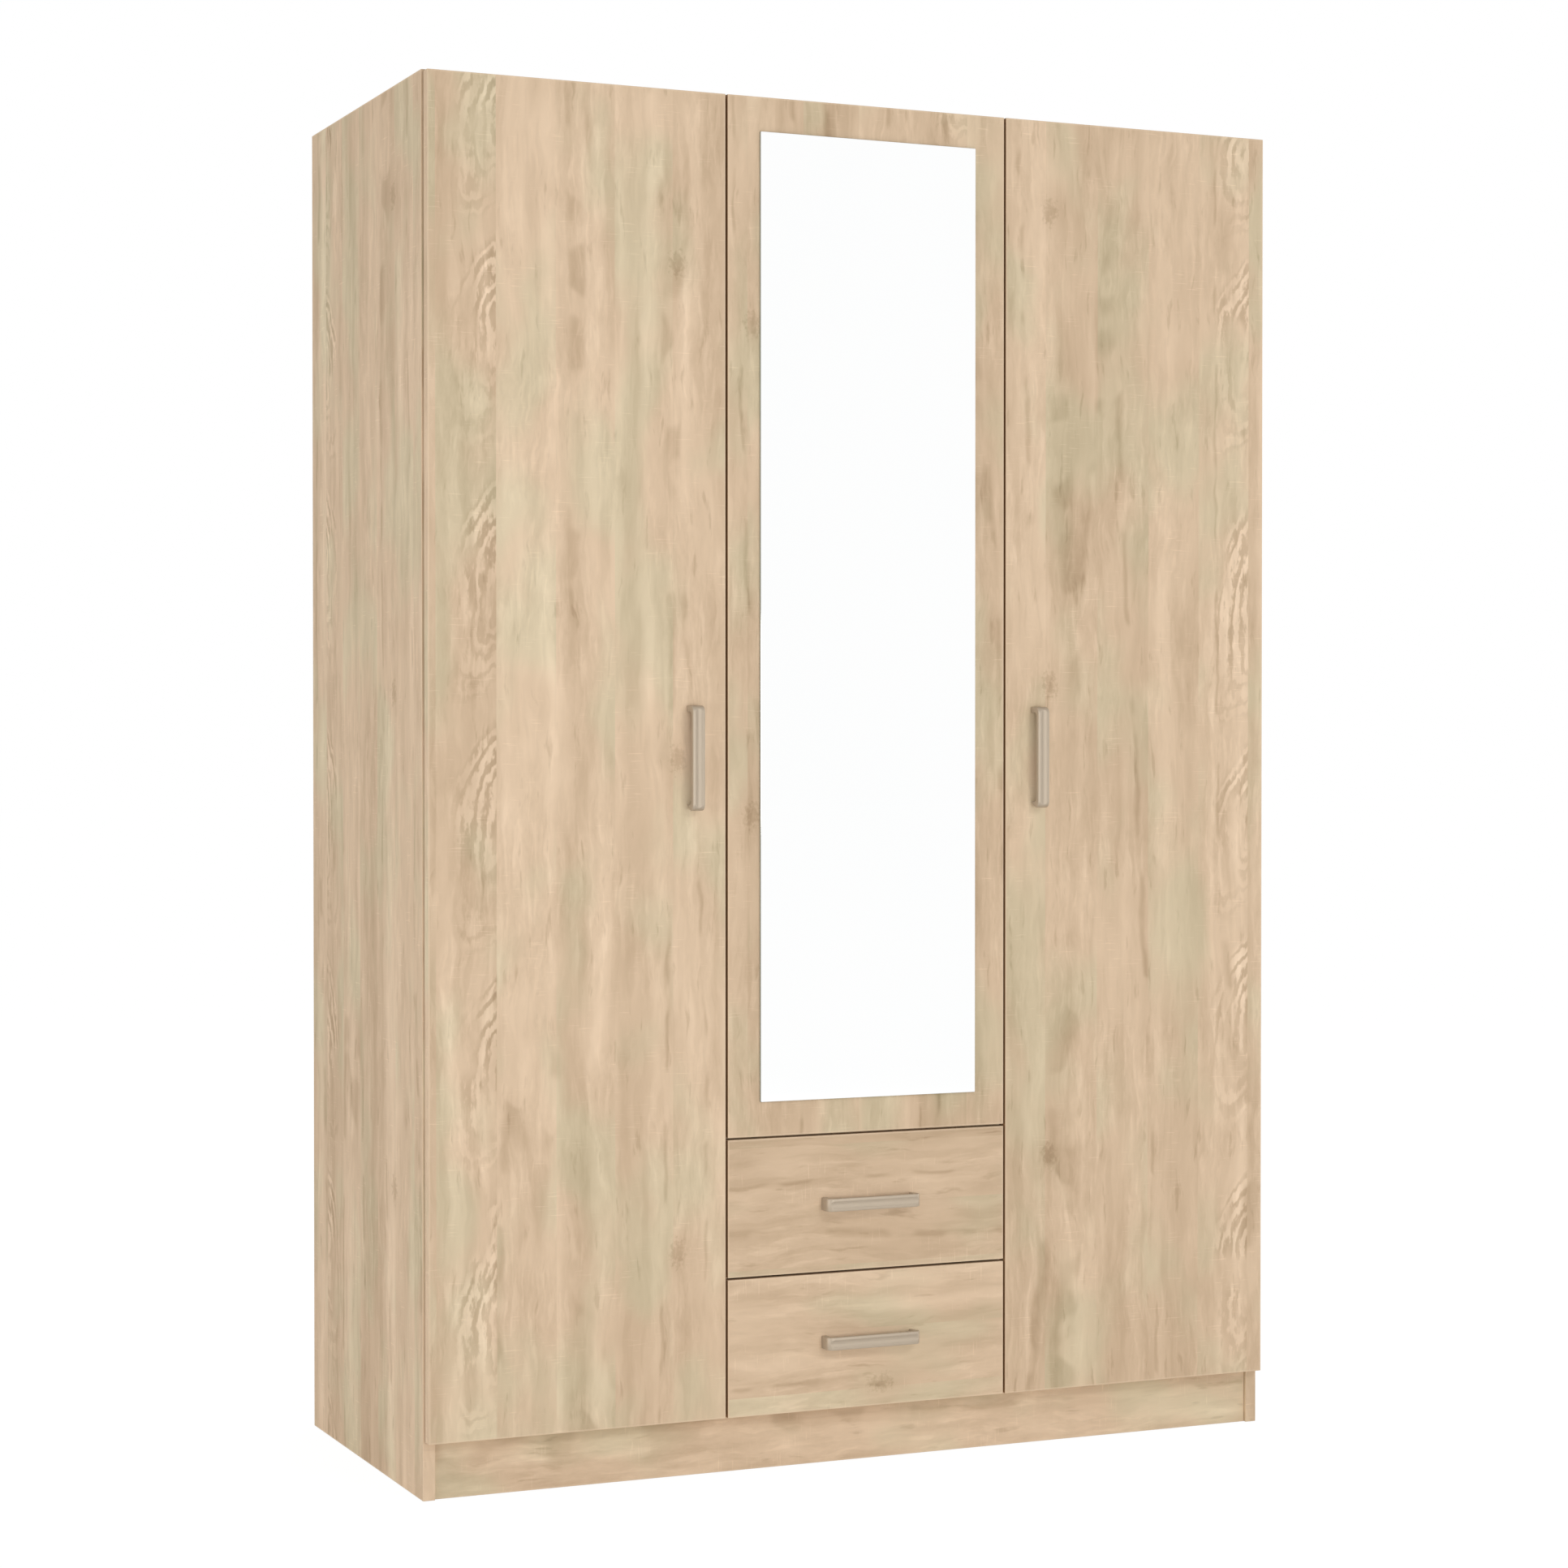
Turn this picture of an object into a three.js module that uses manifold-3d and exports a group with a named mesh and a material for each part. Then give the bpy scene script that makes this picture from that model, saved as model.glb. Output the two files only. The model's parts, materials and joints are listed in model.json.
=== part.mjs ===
// Three-door wardrobe: two plain doors, a mirror door over two drawers, and a plinth.
// Millimetres, Z up, front towards -Y, origin on the floor at the centre of the overall box.
import * as THREE from 'three';
import { mergeVertices } from 'three/addons/utils/BufferGeometryUtils.js';
import Module from 'manifold-3d';

const wasm = await Module();
wasm.setup();

// Carcass
const carcassWidth = 1222;
const carcassHeight = 1800;
const carcassDepth = 504;
const boardThickness = 16;
const backThickness = 3;
const backInset = 1;
const backFoldWidth = 2;
const backFoldDepth = 1.5;
const plinthHeight = 72;
const plinthRecess = 5;
const rearPlinthInset = 40;
const seam = 0.3; // left between pieces that touch

// Doors
const doorThickness = 16;
const doorReveal = 2.5; // carcass left showing round the group of fronts
const doorGap = 3; // between neighbouring fronts
const doorStandoff = 1.5; // door back to carcass front edge

// Mirror, glued to the face of the middle door
const mirrorThickness = 4;
const mirrorSideMargin = 45;
const mirrorEndMargin = 45.5;

// Shelves
const shelfSetback = 22;
const hatSpace = 300;
const middleShelves = ['lower', 'upper'];

// Hanging rails: oval tube in screwed sockets
const railHeight = 30;
const railThickness = 15;
const railWall = 1.2;
const railDrop = 45; // underside of hat shelf to top of rail
const railDepth = 245; // carcass front edge to centre of rail
const socketPlate = 2.5;
const socketCollar = 12;
const socketWall = 2;
const socketFlange = 6;

// Drawers, in the middle bay under the mirror door
const drawerTags = ['lower', 'upper'];
const drawerFrontHeight = 180;
const drawerBackSpace = 45; // drawer end to the carcass back edge
const drawerSideHeight = 120;
const drawerSideThickness = 12;
const drawerSideLift = 25; // lower edge of front to lower edge of side
const drawerSideGap = 3; // side to partition
const drawerBackDrop = 15; // back stops this far under the top of the sides
const drawerBottomThickness = 3;
const drawerBottomLift = 10;
const drawerBottomGroove = 4;
const drawerBottomGap = 0.4; // all round the bottom board in its grooves
const runnerHeight = 14;
const runnerGroove = 7; // depth in the drawer side
const runnerGap = 0.8; // above and below the runner in its groove
const runnerNose = 0.7; // runner to the floor of the groove
const runnerLift = 52; // lower edge of side to lower edge of runner
const runnerSetback = 30; // carcass front edge to runner
const runnerEndInset = 6; // runner end to drawer end

// Bow handles: grooved strap on two legs
const handleLength = 136;
const handleWidth = 17;
const handleProjection = 23;
const handleLeg = 8;
const handleGrip = 7;
const handleOuterRadius = 9;
const handleInnerRadius = 5;
const handleEdge = 1.2;
const handleGrooveWidth = 10;
const handleGrooveDepth = 1.6;
const handleInset = 46.5; // free edge of door to centre of handle

// Cup hinges
const hingePlaces = ['bottom', 'middle', 'top'];
const hingeEndMargin = 100; // door end to centre of the nearest hinge
const cupRadius = 17.5;
const cupDepth = 11.5;
const cupWall = 1;
const cupEdge = 5; // door edge to rim of bore
const cupClearance = 0.3;
const cupFlange = 1;
const cupRim = 1.5; // flange past the bore
const cupEarWidth = 12;
const cupEarHeight = 52;
const armWidth = 14;
const armThickness = 9;
const armClearance = 4; // arm tip to floor of cup
const armTipBack = 9; // door back to the start of the crank
const armCrank = 10; // length of the crank along the arm
const plateThickness = 3;
const plateHeight = 50;
const plateLength = 18;
const plateSetback = 37; // carcass front edge to centre of plate
const armTail = 22; // centre of plate to end of arm

const roundSides = 24;
const cornerSteps = 6;
const bevelSteps = 2;
const overcut = 1; // how far a cutting shape runs past what it cuts

// Positions worked out from the sizes above
const overallDepth = handleProjection + doorThickness + doorStandoff + carcassDepth + backThickness + seam;
const doorFront = -overallDepth / 2 + handleProjection;
const doorBack = doorFront + doorThickness;
const carcassFront = doorBack + doorStandoff;
const carcassBack = carcassFront + carcassDepth;
const leftFace = -carcassWidth / 2;
const innerLeft = leftFace + boardThickness;
const doorWidth = (carcassWidth - 2 * doorReveal - 2 * doorGap) / 3; // three fronts side by side
const doorBottom = plinthHeight + doorReveal;
const doorTop = carcassHeight - doorReveal;
const floorTop = plinthHeight + boardThickness;
const ceiling = carcassHeight - boardThickness;
const mirrorDoorBottom = doorBottom + drawerTags.length * (drawerFrontHeight + doorGap);
const drawerShelfMiddle = mirrorDoorBottom - doorGap / 2;
const partitionOffset = doorWidth / 2 + doorGap / 2; // centre line of a partition from the middle
const bayHalf = partitionOffset - boardThickness / 2; // half the clear width of the middle bay
const bayOuter = partitionOffset + boardThickness / 2;
const hatShelfTop = ceiling - hatSpace;
const railTop = hatShelfTop - boardThickness - railDrop;
// Drawer box, from the front face of its front
const drawerStart = doorThickness + seam;
const drawerEnd = doorThickness + doorStandoff + carcassDepth - drawerBackSpace;

const oak = { color: 0xd2b999, roughness: 0.55, metalness: 0 };
const hardboard = { color: 0xc9b08c, roughness: 0.7, metalness: 0 };
const silvering = { color: 0xe8eaea, roughness: 0.03, metalness: 1 };
const satinMetal = { color: 0xb9b2aa, roughness: 0.35, metalness: 1 };
const nickel = { color: 0xb8b8b4, roughness: 0.25, metalness: 1 };
const chrome = { color: 0xcfd1d2, roughness: 0.15, metalness: 1 };
const plastic = { color: 0xe6e3dc, roughness: 0.5, metalness: 0 };

const wardrobe = new THREE.Group();

function finish(name, geometry, look) {
  const mesh = new THREE.Mesh(geometry, new THREE.MeshStandardMaterial(look));
  mesh.name = name;
  return mesh;
}

// A box between two opposite corners.
function boxBetween(low, high) {
  const size = high.map((value, axis) => value - low[axis]);
  const geometry = new THREE.BoxGeometry(...size);
  geometry.translate(...low.map((value, axis) => value + size[axis] / 2));
  return geometry;
}

function board(name, low, high, look = oak) {
  return finish(name, boxBetween(low, high), look);
}

function toSolid(geometry) {
  const plain = geometry.clone();
  plain.deleteAttribute('normal');
  plain.deleteAttribute('uv');
  const merged = mergeVertices(plain, 1e-4);
  return new wasm.Manifold(new wasm.Mesh({
    numProp: 3,
    vertProperties: new Float32Array(merged.attributes.position.array),
    triVerts: new Uint32Array(merged.index.array),
  }));
}

function fromSolid(solid) {
  const mesh = solid.getMesh();
  const geometry = new THREE.BufferGeometry();
  geometry.setAttribute('position', new THREE.BufferAttribute(new Float32Array(mesh.vertProperties), 3));
  geometry.setIndex(new THREE.BufferAttribute(new Uint32Array(mesh.triVerts), 1));
  geometry.computeVertexNormals();
  return geometry;
}

// The same shape for the other hand, with its faces turned to point outwards again.
function mirroredX(geometry) {
  geometry.scale(-1, 1, 1);
  geometry.setIndex(Array.from(geometry.index.array).reverse());
  return geometry;
}

// A cylinder along Y from its low end.
function roundBar(radius, length, centreX, lowY, centreZ) {
  const geometry = new THREE.CylinderGeometry(radius, radius, length, roundSides);
  geometry.translate(centreX, lowY + length / 2, centreZ);
  return geometry;
}

// Places along a front for its hinges: one near each end, the rest evenly between.
function hingeHeights(length) {
  const span = length - 2 * hingeEndMargin;
  return hingePlaces.map((_, i) => hingeEndMargin + (span * i) / (hingePlaces.length - 1));
}

// Carcass: two sides to the floor, boards between them, a plinth and a nailed back.
function carcassBoards() {
  const sides = [-1, 1].map((side) => {
    const outer = side * carcassWidth / 2;
    const inner = side * (carcassWidth / 2 - boardThickness);
    const low = [Math.min(outer, inner), carcassFront, 0];
    const high = [Math.max(outer, inner), carcassBack, carcassHeight];
    return board(side < 0 ? 'side_panel_left' : 'side_panel_right', low, high);
  });
  const partitions = [-1, 1].map((side) => {
    const middle = side * partitionOffset;
    const low = [middle - boardThickness / 2, carcassFront, floorTop + seam];
    const high = [middle + boardThickness / 2, carcassBack, ceiling - seam];
    return board(side < 0 ? 'partition_left' : 'partition_right', low, high);
  });
  const between = (name, front, back, low, high) => (
    board(name, [innerLeft + seam, front, low], [-innerLeft - seam, back, high])
  );
  const plinthFront = carcassFront + plinthRecess;
  const plinthBack = carcassBack - rearPlinthInset;
  return [
    ...sides,
    between('top_panel', carcassFront, carcassBack, ceiling, carcassHeight),
    between('bottom_panel', carcassFront, carcassBack, plinthHeight, floorTop),
    ...partitions,
    between('plinth_front', plinthFront, plinthFront + boardThickness, 0, plinthHeight - seam),
    between('plinth_back', plinthBack - boardThickness, plinthBack, 0, plinthHeight - seam),
  ];
}

// One hardboard sheet, folded for its carton along a groove behind each partition.
function backPanel() {
  const edge = carcassWidth / 2 - backInset;
  const near = carcassBack + seam;
  const low = [-edge, near, plinthHeight + backInset];
  const high = [edge, near + backThickness, carcassHeight - backInset];
  let sheet = toSolid(boxBetween(low, high));
  for (const side of [-1, 1]) {
    const middle = side * partitionOffset;
    const groove = boxBetween(
      [middle - backFoldWidth / 2, high[1] - backFoldDepth, low[2] - overcut],
      [middle + backFoldWidth / 2, high[1] + overcut, high[2] + overcut],
    );
    sheet = sheet.subtract(toSolid(groove));
  }
  return finish('back_panel', fromSolid(sheet), hardboard);
}

function shelf(name, left, right, top) {
  return board(
    name,
    [left + seam, carcassFront + shelfSetback, top - boardThickness],
    [right - seam, carcassBack - seam, top],
  );
}

function shelves() {
  const drawerShelf = board(
    'shelf_over_drawers',
    [-bayHalf + seam, carcassFront, drawerShelfMiddle - boardThickness / 2],
    [bayHalf - seam, carcassBack - seam, drawerShelfMiddle + boardThickness / 2],
  );
  const bayBottom = drawerShelfMiddle + boardThickness / 2;
  const count = middleShelves.length;
  const clear = (ceiling - bayBottom - count * boardThickness) / (count + 1);
  const middle = middleShelves.map((name, i) => (
    shelf(`middle_shelf_${name}`, -bayHalf, bayHalf, bayBottom + (i + 1) * (clear + boardThickness))
  ));
  return [
    drawerShelf,
    ...middle,
    shelf('hat_shelf_left', innerLeft, -bayOuter, hatShelfTop),
    shelf('hat_shelf_right', bayOuter, -innerLeft, hatShelfTop),
  ];
}

// Upright oval, drawn round its centre.
function oval(height, thickness, Kind = THREE.Shape) {
  const outline = new Kind();
  const radius = thickness / 2;
  const rise = height / 2 - radius;
  outline.absarc(0, rise, radius, 0, Math.PI, false);
  outline.absarc(0, -rise, radius, Math.PI, 2 * Math.PI, false);
  outline.closePath();
  return outline;
}

// An upright outline extruded along +X.
function alongX(outline, length) {
  const geometry = new THREE.ExtrudeGeometry(outline, {
    depth: length,
    bevelEnabled: false,
    curveSegments: cornerSteps,
  });
  geometry.rotateX(Math.PI / 2);
  geometry.rotateZ(Math.PI / 2);
  return geometry;
}

// Socket with its plate at x = 0 and its collar towards +X.
function railSocket() {
  const inner = { height: railHeight + 2 * seam, thickness: railThickness + 2 * seam };
  const plate = alongX(
    oval(inner.height + 2 * (socketWall + socketFlange), inner.thickness + 2 * (socketWall + socketFlange)),
    socketPlate,
  );
  const collar = alongX(
    oval(inner.height + 2 * socketWall, inner.thickness + 2 * socketWall),
    socketPlate + socketCollar,
  );
  const cavity = alongX(oval(inner.height, inner.thickness), socketCollar + overcut);
  cavity.translate(socketPlate, 0, 0);
  return fromSolid(toSolid(plate).add(toSolid(collar)).subtract(toSolid(cavity)));
}

function hangingRail(bay, left, right) {
  const group = new THREE.Group();
  group.position.set(0, carcassFront + railDepth, railTop - railHeight / 2);
  const end = seam + socketPlate + seam;
  const tube = oval(railHeight, railThickness);
  tube.holes.push(oval(railHeight - 2 * railWall, railThickness - 2 * railWall, THREE.Path));
  const rail = finish(`hanging_rail_${bay}`, alongX(tube, right - left - 2 * end), chrome);
  rail.position.x = left + end;
  const socketLeft = finish(`rail_socket_${bay}_at_left`, railSocket(), nickel);
  socketLeft.position.x = left + seam;
  const socketRight = finish(`rail_socket_${bay}_at_right`, railSocket(), nickel);
  socketRight.rotation.z = Math.PI;
  socketRight.position.x = right - seam;
  group.add(rail, socketLeft, socketRight);
  return group;
}

// Outline of a bow handle seen from the side: length along X, projection along Y.
function bowOutline() {
  const half = handleLength / 2;
  const reach = handleProjection;
  const foot = half - handleLeg;
  const under = reach - handleGrip;
  const outer = handleOuterRadius;
  const inner = handleInnerRadius;
  const outline = new THREE.Shape();
  outline.moveTo(half, seam);
  outline.absarc(half - outer, reach - outer, outer, 0, Math.PI / 2, false);
  outline.absarc(-half + outer, reach - outer, outer, Math.PI / 2, Math.PI, false);
  outline.lineTo(-half, seam);
  outline.lineTo(-foot, seam);
  outline.absarc(-foot + inner, under - inner, inner, Math.PI, Math.PI / 2, true);
  outline.absarc(foot - inner, under - inner, inner, Math.PI / 2, 0, true);
  outline.lineTo(foot, seam);
  outline.closePath();
  return outline;
}

// Handle lying along X, standing out towards -Y from y = 0, with a hollow channel down its front.
function bowHandle() {
  const strap = new THREE.ExtrudeGeometry(bowOutline(), {
    depth: handleWidth - 2 * handleEdge,
    bevelThickness: handleEdge,
    bevelSize: handleEdge,
    bevelOffset: -handleEdge,
    bevelSegments: bevelSteps,
    curveSegments: cornerSteps,
  });
  strap.translate(0, 0, -handleWidth / 2 + handleEdge);
  const chord = handleGrooveWidth / 2;
  const radius = (chord * chord + handleGrooveDepth * handleGrooveDepth) / (2 * handleGrooveDepth);
  const channel = new THREE.CylinderGeometry(radius, radius, handleLength + 2 * overcut, 2 * roundSides);
  channel.rotateZ(Math.PI / 2);
  channel.translate(0, handleProjection + radius - handleGrooveDepth, 0);
  const handle = fromSolid(toSolid(strap).subtract(toSolid(channel)));
  handle.rotateX(Math.PI);
  return handle;
}

// Hinge cup pressed into the door back, built round the bore axis with its floor at y = 0.
function hingeCup() {
  const body = roundBar(cupRadius - cupClearance, cupDepth + cupFlange, 0, 0, 0);
  const rim = roundBar(cupRadius + cupRim, cupFlange - seam, 0, cupDepth + seam, 0);
  const ears = boxBetween(
    [-cupEarWidth / 2, cupDepth + seam, -cupEarHeight / 2],
    [cupEarWidth / 2, cupDepth + cupFlange, cupEarHeight / 2],
  );
  const hollow = roundBar(cupRadius - cupClearance - cupWall, cupDepth + cupFlange, 0, cupWall, 0);
  return fromSolid(toSolid(body).add(toSolid(rim)).add(toSolid(ears)).subtract(toSolid(hollow)));
}

// Hinge arm and its plate, at the height z = 0. x runs from the door's hinged edge towards its
// middle, y from the door's front face; panelFace is the x of the board that carries the plate.
function hingeArm(panelFace) {
  const front = doorThickness - cupDepth + cupWall + armClearance;
  const tip = cupEdge + cupRadius - armThickness / 2;
  const crankStart = doorThickness + armTipBack;
  const plateMiddle = doorThickness + doorStandoff + plateSetback;
  const tail = plateMiddle + armTail;
  const plateTop = panelFace + seam + plateThickness;
  const root = plateTop - seam;
  const outline = new THREE.Shape();
  outline.moveTo(tip, front);
  outline.lineTo(tip + armThickness, front);
  outline.lineTo(tip + armThickness, crankStart);
  outline.lineTo(root + armThickness, crankStart + armCrank);
  outline.lineTo(root + armThickness, tail);
  outline.lineTo(root, tail);
  outline.lineTo(root, crankStart + armCrank);
  outline.lineTo(tip, crankStart);
  outline.closePath();
  const arm = new THREE.ExtrudeGeometry(outline, { depth: armWidth, bevelEnabled: false });
  arm.translate(0, 0, -armWidth / 2);
  const plate = boxBetween(
    [panelFace + seam, plateMiddle - plateLength / 2, -plateHeight / 2],
    [plateTop, plateMiddle + plateLength / 2, plateHeight / 2],
  );
  return fromSolid(toSolid(arm).add(toSolid(plate)));
}

// A door with its hinges. hand is 1 when it hangs on its left edge and -1 on its right edge;
// panelFace is how far its hinged edge lies over the board that carries it.
function hungDoor({ name, tag, hingedEdge, hand, bottom, panelFace, extras }) {
  const length = doorTop - bottom;
  const group = new THREE.Group();
  group.position.set(hingedEdge, doorFront, bottom);
  const free = hand * doorWidth;
  let leaf = toSolid(boxBetween([Math.min(0, free), 0, 0], [Math.max(0, free), doorThickness, length]));
  const cupCentre = hand * (cupEdge + cupRadius);
  const boreFloor = doorThickness - cupDepth - seam;
  hingeHeights(length).forEach((height, i) => {
    leaf = leaf.subtract(toSolid(roundBar(cupRadius, doorThickness, cupCentre, boreFloor, height)));
    const cup = finish(`hinge_cup_${tag}_${hingePlaces[i]}`, hingeCup(), nickel);
    cup.position.set(cupCentre, doorThickness - cupDepth, height);
    const arm = finish(`hinge_arm_${tag}_${hingePlaces[i]}`, hingeArm(panelFace), nickel);
    arm.position.z = height;
    arm.rotation.y = hand < 0 ? Math.PI : 0;
    group.add(cup, arm);
  });
  group.add(finish(name, fromSolid(leaf), oak), ...extras(length));
  return group;
}

function uprightHandle(name, hand, length) {
  const handle = finish(name, bowHandle(), satinMetal);
  handle.rotation.y = Math.PI / 2;
  handle.position.set(hand * (doorWidth - handleInset), 0, length / 2);
  return handle;
}

function mirrorSheet(length) {
  const low = [-doorWidth + mirrorSideMargin, -seam - mirrorThickness, mirrorEndMargin];
  const high = [-mirrorSideMargin, -seam, length - mirrorEndMargin];
  return board('mirror', low, high, silvering);
}

function doors() {
  const outerEdge = carcassWidth / 2 - doorReveal;
  const outerPanelFace = boardThickness - doorReveal;
  const left = hungDoor({
    name: 'door_left',
    tag: 'left',
    hingedEdge: -outerEdge,
    hand: 1,
    bottom: doorBottom,
    panelFace: outerPanelFace,
    extras: (length) => [uprightHandle('handle_door_left', 1, length)],
  });
  const right = hungDoor({
    name: 'door_right',
    tag: 'right',
    hingedEdge: outerEdge,
    hand: -1,
    bottom: doorBottom,
    panelFace: outerPanelFace,
    extras: (length) => [uprightHandle('handle_door_right', -1, length)],
  });
  const middle = hungDoor({
    name: 'mirror_door',
    tag: 'mirror',
    hingedEdge: doorWidth / 2,
    hand: -1,
    bottom: mirrorDoorBottom,
    panelFace: doorWidth / 2 - bayHalf,
    extras: (length) => [mirrorSheet(length)],
  });
  return [left, middle, right];
}

// Drawer side with a groove outside for the runner and one inside for the bottom board.
// x = 0 is the outer face and the inside is towards +X.
function drawerSide() {
  const runnerStart = doorThickness + doorStandoff + runnerSetback - runnerGap;
  const side = toSolid(boxBetween([0, drawerStart, 0], [drawerSideThickness, drawerEnd, drawerSideHeight]));
  const runnerSlot = boxBetween(
    [-overcut, runnerStart, runnerLift - runnerGap],
    [runnerGroove, drawerEnd + overcut, runnerLift + runnerHeight + runnerGap],
  );
  const bottomSlot = boxBetween(
    [drawerSideThickness - drawerBottomGroove, drawerStart - overcut, drawerBottomLift],
    [
      drawerSideThickness + overcut,
      drawerEnd + overcut,
      drawerBottomLift + drawerBottomThickness + 2 * drawerBottomGap,
    ],
  );
  return fromSolid(side.subtract(toSolid(runnerSlot)).subtract(toSolid(bottomSlot)));
}

function drawer(tag, bottom) {
  const group = new THREE.Group();
  group.position.set(0, doorFront, bottom);
  const outer = bayHalf - drawerSideGap;
  const inner = outer - drawerSideThickness;
  const sides = [-1, 1].map((side) => {
    const shape = side < 0 ? drawerSide() : mirroredX(drawerSide());
    const mesh = finish(`drawer_${tag}_side_${side < 0 ? 'left' : 'right'}`, shape, oak);
    mesh.position.set(side * outer, 0, drawerSideLift);
    return mesh;
  });
  const bottomLow = drawerSideLift + drawerBottomLift + drawerBottomGap;
  const bottomEdge = inner + drawerBottomGroove - drawerBottomGap;
  const bottomTop = bottomLow + drawerBottomThickness;
  const handle = finish(`handle_drawer_${tag}`, bowHandle(), satinMetal);
  handle.position.z = drawerFrontHeight / 2;
  group.add(
    board(`drawer_${tag}_front`, [-doorWidth / 2, 0, 0], [doorWidth / 2, doorThickness, drawerFrontHeight]),
    ...sides,
    board(
      `drawer_${tag}_back`,
      [-inner + seam, drawerEnd - drawerSideThickness, bottomTop + seam],
      [inner - seam, drawerEnd, drawerSideLift + drawerSideHeight - drawerBackDrop],
    ),
    board(
      `drawer_${tag}_bottom`,
      [-bottomEdge, drawerStart, bottomLow],
      [bottomEdge, drawerEnd, bottomTop],
      hardboard,
    ),
    handle,
  );
  return group;
}

// Runners: plastic strips on the partitions that the grooved drawer sides ride on.
function runners(tag, bottom) {
  const low = bottom + drawerSideLift + runnerLift;
  const front = carcassFront + runnerSetback;
  const reach = drawerSideGap + runnerGroove - runnerNose;
  return [-1, 1].map((side) => {
    const wall = side * (bayHalf - seam);
    const nose = side * (bayHalf - reach);
    return board(
      `drawer_runner_${tag}_${side < 0 ? 'left' : 'right'}`,
      [Math.min(wall, nose), front, low],
      [Math.max(wall, nose), doorFront + drawerEnd - runnerEndInset, low + runnerHeight],
      plastic,
    );
  });
}

wardrobe.add(
  ...carcassBoards(),
  backPanel(),
  ...shelves(),
  hangingRail('left', innerLeft, -bayOuter),
  hangingRail('right', bayOuter, -innerLeft),
  ...doors(),
);
drawerTags.forEach((tag, i) => {
  const bottom = doorBottom + i * (drawerFrontHeight + doorGap);
  wardrobe.add(drawer(tag, bottom), ...runners(tag, bottom));
});

export default wardrobe;
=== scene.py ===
import json
import math

import bmesh
import bpy
from mathutils import Matrix, Vector


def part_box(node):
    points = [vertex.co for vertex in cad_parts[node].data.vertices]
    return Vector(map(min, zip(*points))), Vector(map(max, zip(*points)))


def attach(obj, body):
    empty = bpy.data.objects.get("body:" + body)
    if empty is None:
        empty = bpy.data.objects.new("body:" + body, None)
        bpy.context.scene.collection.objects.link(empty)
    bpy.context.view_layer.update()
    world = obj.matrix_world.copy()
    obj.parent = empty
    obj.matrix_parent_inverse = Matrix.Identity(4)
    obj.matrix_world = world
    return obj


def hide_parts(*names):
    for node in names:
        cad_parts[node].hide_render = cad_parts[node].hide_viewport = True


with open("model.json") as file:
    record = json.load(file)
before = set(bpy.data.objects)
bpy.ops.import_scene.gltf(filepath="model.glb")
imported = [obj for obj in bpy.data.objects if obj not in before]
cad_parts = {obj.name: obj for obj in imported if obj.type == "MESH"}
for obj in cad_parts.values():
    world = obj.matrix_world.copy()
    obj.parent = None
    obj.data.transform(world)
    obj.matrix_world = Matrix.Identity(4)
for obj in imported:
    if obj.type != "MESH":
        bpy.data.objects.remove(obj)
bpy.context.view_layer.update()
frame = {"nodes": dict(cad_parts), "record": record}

MM = 0.001
X, Y, Z = 0, 1, 2


# ---------------------------------------------------------------- colours and node helpers

def srgb(red, green, blue):
    """A colour on the 0 to 255 scale, as Blender's linear values."""
    def linear(value):
        value /= 255
        return value / 12.92 if value <= 0.04045 else ((value + 0.055) / 1.055) ** 2.4
    return (linear(red), linear(green), linear(blue), 1.0)


class Graph:
    """Adds nodes to a tree, and links each one to what feeds it."""

    def __init__(self, tree):
        self.tree = tree

    def feed(self, socket, value):
        if isinstance(value, bpy.types.NodeSocket):
            self.tree.links.new(value, socket)
        elif value is not None:
            socket.default_value = value

    def node(self, kind, inputs=(), **settings):
        made = self.tree.nodes.new(kind)
        for name, value in settings.items():
            setattr(made, name, value)
        pairs = inputs.items() if isinstance(inputs, dict) else enumerate(inputs)
        for place, value in pairs:
            self.feed(made.inputs[place], value)
        return made

    def math(self, operation, *values, clamp=False):
        return self.node("ShaderNodeMath", values, operation=operation, use_clamp=clamp).outputs[0]

    def total(self, *values):
        result = values[0]
        for value in values[1:]:
            result = self.math("ADD", result, value)
        return result

    def product(self, *values):
        result = values[0]
        for value in values[1:]:
            result = self.math("MULTIPLY", result, value)
        return result

    def length(self, x, y):
        return self.math("SQRT", self.total(self.math("POWER", x, 2.0), self.math("POWER", y, 2.0)))

    def centred(self, value, size):
        """A value of 0 to 1 turned into one of minus to plus half the size."""
        return self.math("MULTIPLY", self.math("SUBTRACT", value, 0.5), size)

    def noise(self, place, detail=2.0, roughness=0.5, scale=1.0):
        inputs = {"Vector": place, "Scale": scale, "Detail": detail, "Roughness": roughness}
        return self.node("ShaderNodeTexNoise", inputs).outputs[0]

    def step(self, value, low, high):
        """0 at low and 1 at high, smooth between; low may be the larger."""
        inputs = {"Value": value, "From Min": low, "From Max": high}
        return self.node("ShaderNodeMapRange", inputs, interpolation_type="SMOOTHSTEP").outputs[0]

    def mix(self, share, first, second):
        made = self.node("ShaderNodeMix", data_type="RGBA")
        factor, colour_a, colour_b = (s for s in made.inputs if s.enabled)
        self.feed(factor, share)
        self.feed(colour_a, first)
        self.feed(colour_b, second)
        return next(s for s in made.outputs if s.enabled)

    def ramp(self, value, points):
        """points are pairs of a place from 0 to 1 and a colour."""
        made = self.node("ShaderNodeValToRGB", (value,))
        stops = made.color_ramp.elements
        while len(stops) < len(points):
            stops.new(0.5)
        for stop, (place, colour) in zip(stops, points):
            stop.position = place
            stop.color = colour
        return made.outputs[0]


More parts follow.
